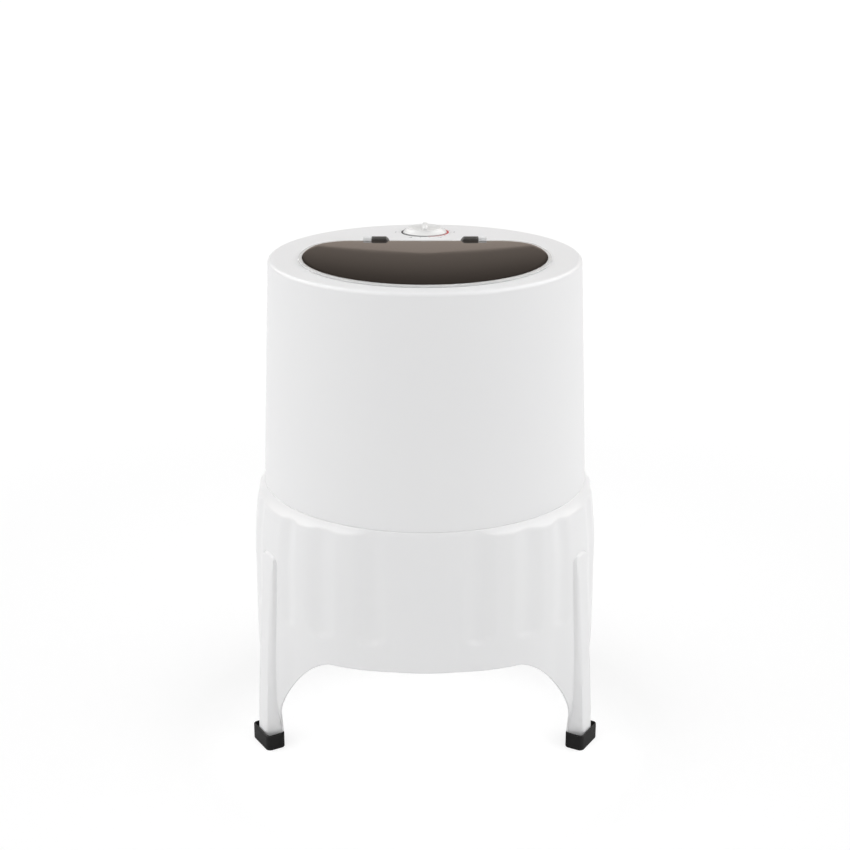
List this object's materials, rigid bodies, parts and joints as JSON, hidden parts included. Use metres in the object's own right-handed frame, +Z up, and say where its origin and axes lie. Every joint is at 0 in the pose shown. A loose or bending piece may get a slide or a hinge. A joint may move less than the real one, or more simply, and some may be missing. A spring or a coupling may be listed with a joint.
{
  "type": "semi-automatic washing machine",
  "caption": "Round single-tub washing machine with a tinted hinged lid, timer knob, belt-driven impeller and a fluted skirt on legs",
  "frame": {"origin": "on the floor, at the middle of the machine's footprint box; the casing's axis is 23.4 mm in front of it", "axes": "+Z up, the front with the lid's free edge faces -Y, +X is to the right of a person facing the front"},
  "size_m": [0.5922, 0.6068, 0.8365],
  "materials": {
    "shell_white": "moulded, soft gloss",
    "tub_grey": "moulded, soft gloss",
    "clear_pale": "translucent, polished",
    "window_tint": "smoke-tinted, polished",
    "dark_plastic": "moulded, fine grain",
    "rubber_black": "moulded rubber",
    "steel": "zinc plated",
    "cast_alloy": "die cast",
    "bronze": "sintered bronze",
    "copper": "enamelled winding wire",
    "cream_plastic": "moulded"
  },
  "bodies": {
    "machine": {"tub_casing": "shell_white", "base_skirt": "shell_white", "wash_tub": "tub_grey", "drain_grate": "tub_grey", "hinge_block_left": "dark_plastic", "hinge_block_right": "dark_plastic", "dial_ring": "dark_plastic", "drain_elbow": "dark_plastic", "cord_gland": "dark_plastic", "gland_nut": "dark_plastic", "wiring_loom": "dark_plastic", "foot_left": "rubber_black", "foot_right": "rubber_black", "foot_rear": "rubber_black", "drain_gasket": "rubber_black", "shaft_seal": "rubber_black", "motor_grommets": "rubber_black", "drive_belt": "rubber_black", "tub_screws": "steel", "drain_clamp": "steel", "timer_screws": "steel", "hinge_pins": "steel", "hinge_screws": "steel", "housing_screws": "steel", "motor_bracket": "steel", "bracket_screws": "steel", "motor_stator": "steel", "motor_bolts": "steel", "capacitor_clip": "steel", "bearing_housing": "cast_alloy", "motor_top_shield": "cast_alloy", "motor_bottom_shield": "cast_alloy", "upper_bush": "bronze", "lower_bush": "bronze", "motor_bearings": "bronze", "motor_windings": "copper", "timer_case": "cream_plastic", "capacitor": "cream_plastic", "terminal_block": "cream_plastic"},
    "lid": {"lid_rim": "clear_pale", "lid_window": "window_tint"},
    "timer": {"timer_knob": "shell_white", "timer_spindle": "steel"},
    "impeller_drive": {"impeller": "tub_grey", "impeller_cap": "tub_grey", "impeller_screw": "steel", "drive_shaft": "steel", "drive_pulley": "cast_alloy", "pulley_nut": "steel", "pulley_spacer": "steel"},
    "motor_rotor": {"rotor_core": "steel", "motor_shaft": "steel", "motor_pulley": "cast_alloy", "cooling_fan": "cream_plastic"},
    "lint_filter": {"filter_frame": "shell_white", "filter_mesh": "cream_plastic"}
  },
  "joints": [
    {"name": "lid_hinge", "type": "hinge", "parent": "machine", "child": "lid", "pos_m": [0, 0.08056, 0.8248], "axis": [-1, 0, 0], "range_deg": [0, 105]},
    {"name": "timer_turn", "type": "hinge", "parent": "machine", "child": "timer", "pos_m": [0, 0.16356, 0.825], "axis": [0, 0, 1], "range_deg": [-300, 0]},
    {"name": "impeller_spin", "type": "hinge", "parent": "machine", "child": "impeller_drive", "pos_m": [0, -0.04244, 0.45], "axis": [0, 0, 1], "continuous": true},
    {"name": "motor_spin", "type": "hinge", "parent": "machine", "child": "motor_rotor", "pos_m": [0, 0.10756, 0.3], "axis": [0, 0, 1], "continuous": true},
    {"name": "filter_lift", "type": "slide", "parent": "machine", "child": "lint_filter", "axis": [0, 0, 1], "range_m": [0, 0.05]}
  ],
  "couplings": [
    {"joint": "motor_spin", "follows": "impeller_spin", "ratio": 4.15}
  ]
}
